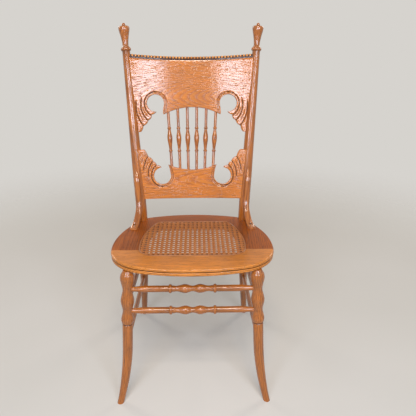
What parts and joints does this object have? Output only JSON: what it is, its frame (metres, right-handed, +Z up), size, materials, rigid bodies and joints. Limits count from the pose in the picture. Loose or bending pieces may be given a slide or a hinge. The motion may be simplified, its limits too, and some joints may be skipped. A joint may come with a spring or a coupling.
{
  "type": "turned oak side chair with carved back and cane seat",
  "caption": "Golden oak side chair with turned posts, a bowed carved crest and splat joined by spindles, a woven cane seat and swept turned legs.",
  "frame": {"origin": "on the floor, at the middle of the chair's outline seen from above", "axes": "+Z up, the front of the seat faces -Y, the sitter's left is +X"},
  "size_m": [0.479, 0.5106, 1.0655],
  "materials": {
    "golden_oak": "varnished golden oak, semi-gloss",
    "cane": "stained rattan cane, satin",
    "reed": "stained reed, satin",
    "dowel_wood": "plain birch",
    "screw_steel": "dull steel, slightly tarnished"
  },
  "bodies": {
    "root": {"back_post_right": "golden_oak", "back_post_left": "golden_oak", "hip_brace_right": "golden_oak", "hip_brace_left": "golden_oak", "crest_rail": "golden_oak", "crest_bead_moulding": "golden_oak", "lower_splat": "golden_oak", "spindle_1": "golden_oak", "spindle_2": "golden_oak", "spindle_3": "golden_oak", "spindle_4": "golden_oak", "spindle_5": "golden_oak", "spindle_6": "golden_oak", "seat_front_rail": "golden_oak", "seat_side_rail_right": "golden_oak", "seat_side_rail_left": "golden_oak", "seat_back_rail": "golden_oak", "cane_panel": "cane", "cane_spline": "reed", "front_leg_right": "golden_oak", "front_leg_left": "golden_oak", "front_stretcher_upper": "golden_oak", "front_stretcher_lower": "golden_oak", "side_stretcher_upper_right": "golden_oak", "side_stretcher_upper_left": "golden_oak", "side_stretcher_lower_right": "golden_oak", "side_stretcher_lower_left": "golden_oak", "back_stretcher": "golden_oak", "seat_dowels": "dowel_wood", "back_dowels": "dowel_wood", "brace_dowels": "dowel_wood", "brace_screws": "screw_steel", "post_bolts": "screw_steel"}
  },
  "joints": []
}
